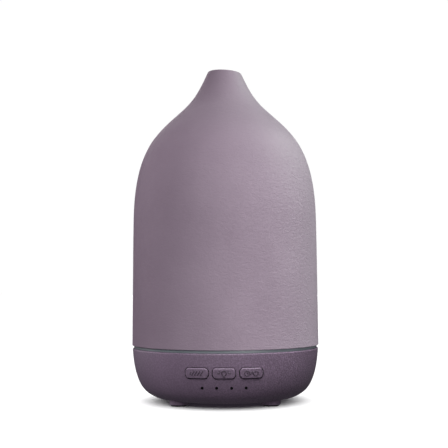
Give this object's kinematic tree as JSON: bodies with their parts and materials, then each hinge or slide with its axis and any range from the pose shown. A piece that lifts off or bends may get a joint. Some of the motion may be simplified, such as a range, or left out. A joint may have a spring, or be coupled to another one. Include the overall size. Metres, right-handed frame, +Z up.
{
  "type": "essential oil diffuser",
  "caption": "Ultrasonic oil diffuser: tapered stone-finish cover with slanted mouth on a low round base with push buttons, timer lights, tank, fan and feet.",
  "frame": {"origin": "centre of the footprint on the table plane, under the feet", "axes": "+Z up along the axis of the cover, -Y towards the front where the buttons are, +Y towards the power socket"},
  "size_m": [0.0894, 0.0894, 0.1596],
  "materials": {
    "stoneware": "matte glazed stoneware with a fine mottled grain",
    "base_plastic": "fine sandy matte",
    "button_plastic": "fine sandy matte",
    "light_guide": "frosted translucent",
    "tank_plastic": "satin moulded",
    "lid_plastic": "frosted translucent",
    "rubber_black": "matte",
    "silicone": "matte",
    "black_plastic": "matte",
    "board_green": "satin solder mask",
    "board_white": "satin",
    "led_body": "gloss",
    "steel": "machined",
    "brass": "polished",
    "aluminium": "satin",
    "ferrite": "matte",
    "copper": "enamelled wire",
    "can_sleeve": "gloss",
    "lead_insulation": "satin",
    "connector_plastic": "satin"
  },
  "bodies": {
    "base": {"base_bowl": "base_plastic", "button_board": "board_green", "switch_bodies": "black_plastic", "timer_leds": "led_body", "timer_light_pipes": "black_plastic", "button_board_screws": "steel", "light_ring": "light_guide", "deck_seal": "silicone", "light_board": "board_white", "ring_leds": "led_body", "tank_housing": "tank_plastic", "air_standpipe": "tank_plastic", "disc_gasket": "silicone", "ultrasonic_disc": "brass", "disc_clamp": "black_plastic", "clamp_screws": "steel", "fan_frame": "black_plastic", "fan_gasket": "silicone", "fan_screws": "steel", "air_hood": "black_plastic", "bottom_cover": "base_plastic", "rubber_feet": "rubber_black", "housing_screws": "steel", "main_board": "board_green", "board_screws": "steel", "inductor": "ferrite", "inductor_winding": "copper", "capacitors": "can_sleeve", "heat_sink": "aluminium", "drive_transistor": "black_plastic", "control_chip": "black_plastic", "board_connectors": "connector_plastic", "power_socket": "black_plastic", "socket_pin": "steel", "fan_lead": "lead_insulation", "disc_lead": "lead_insulation", "button_lead": "lead_insulation", "ring_lead": "lead_insulation"},
    "cover": {"stone_cover": "stoneware"},
    "lid": {"mist_lid": "lid_plastic"},
    "mist_key": {"mist_button": "button_plastic", "mist_plunger": "black_plastic"},
    "light_key": {"light_button": "button_plastic", "light_plunger": "black_plastic"},
    "timer_key": {"timer_button": "button_plastic", "timer_plunger": "black_plastic"},
    "fan": {"fan_rotor": "black_plastic"}
  },
  "joints": [
    {"name": "lid_lift", "type": "slide", "parent": "base", "child": "lid", "axis": [0, 0, 1], "range_m": [0, 0.06]},
    {"name": "cover_lift", "type": "slide", "parent": "lid", "child": "cover", "axis": [0, 0, 1], "range_m": [0, 0.13]},
    {"name": "mist_press", "type": "slide", "parent": "base", "child": "mist_key", "axis": [0, 1, 0], "range_m": [0, 0.0006], "stiffness_N_per_m": 1500, "springref_m": -0.0002},
    {"name": "light_press", "type": "slide", "parent": "base", "child": "light_key", "axis": [0, 1, 0], "range_m": [0, 0.0006], "stiffness_N_per_m": 1500, "springref_m": -0.0002},
    {"name": "timer_press", "type": "slide", "parent": "base", "child": "timer_key", "axis": [0, 1, 0], "range_m": [0, 0.0006], "stiffness_N_per_m": 1500, "springref_m": -0.0002},
    {"name": "fan_spin", "type": "hinge", "parent": "base", "child": "fan", "pos_m": [-0.0167, 0, 0.0094], "axis": [0, 0, 1], "continuous": true}
  ]
}
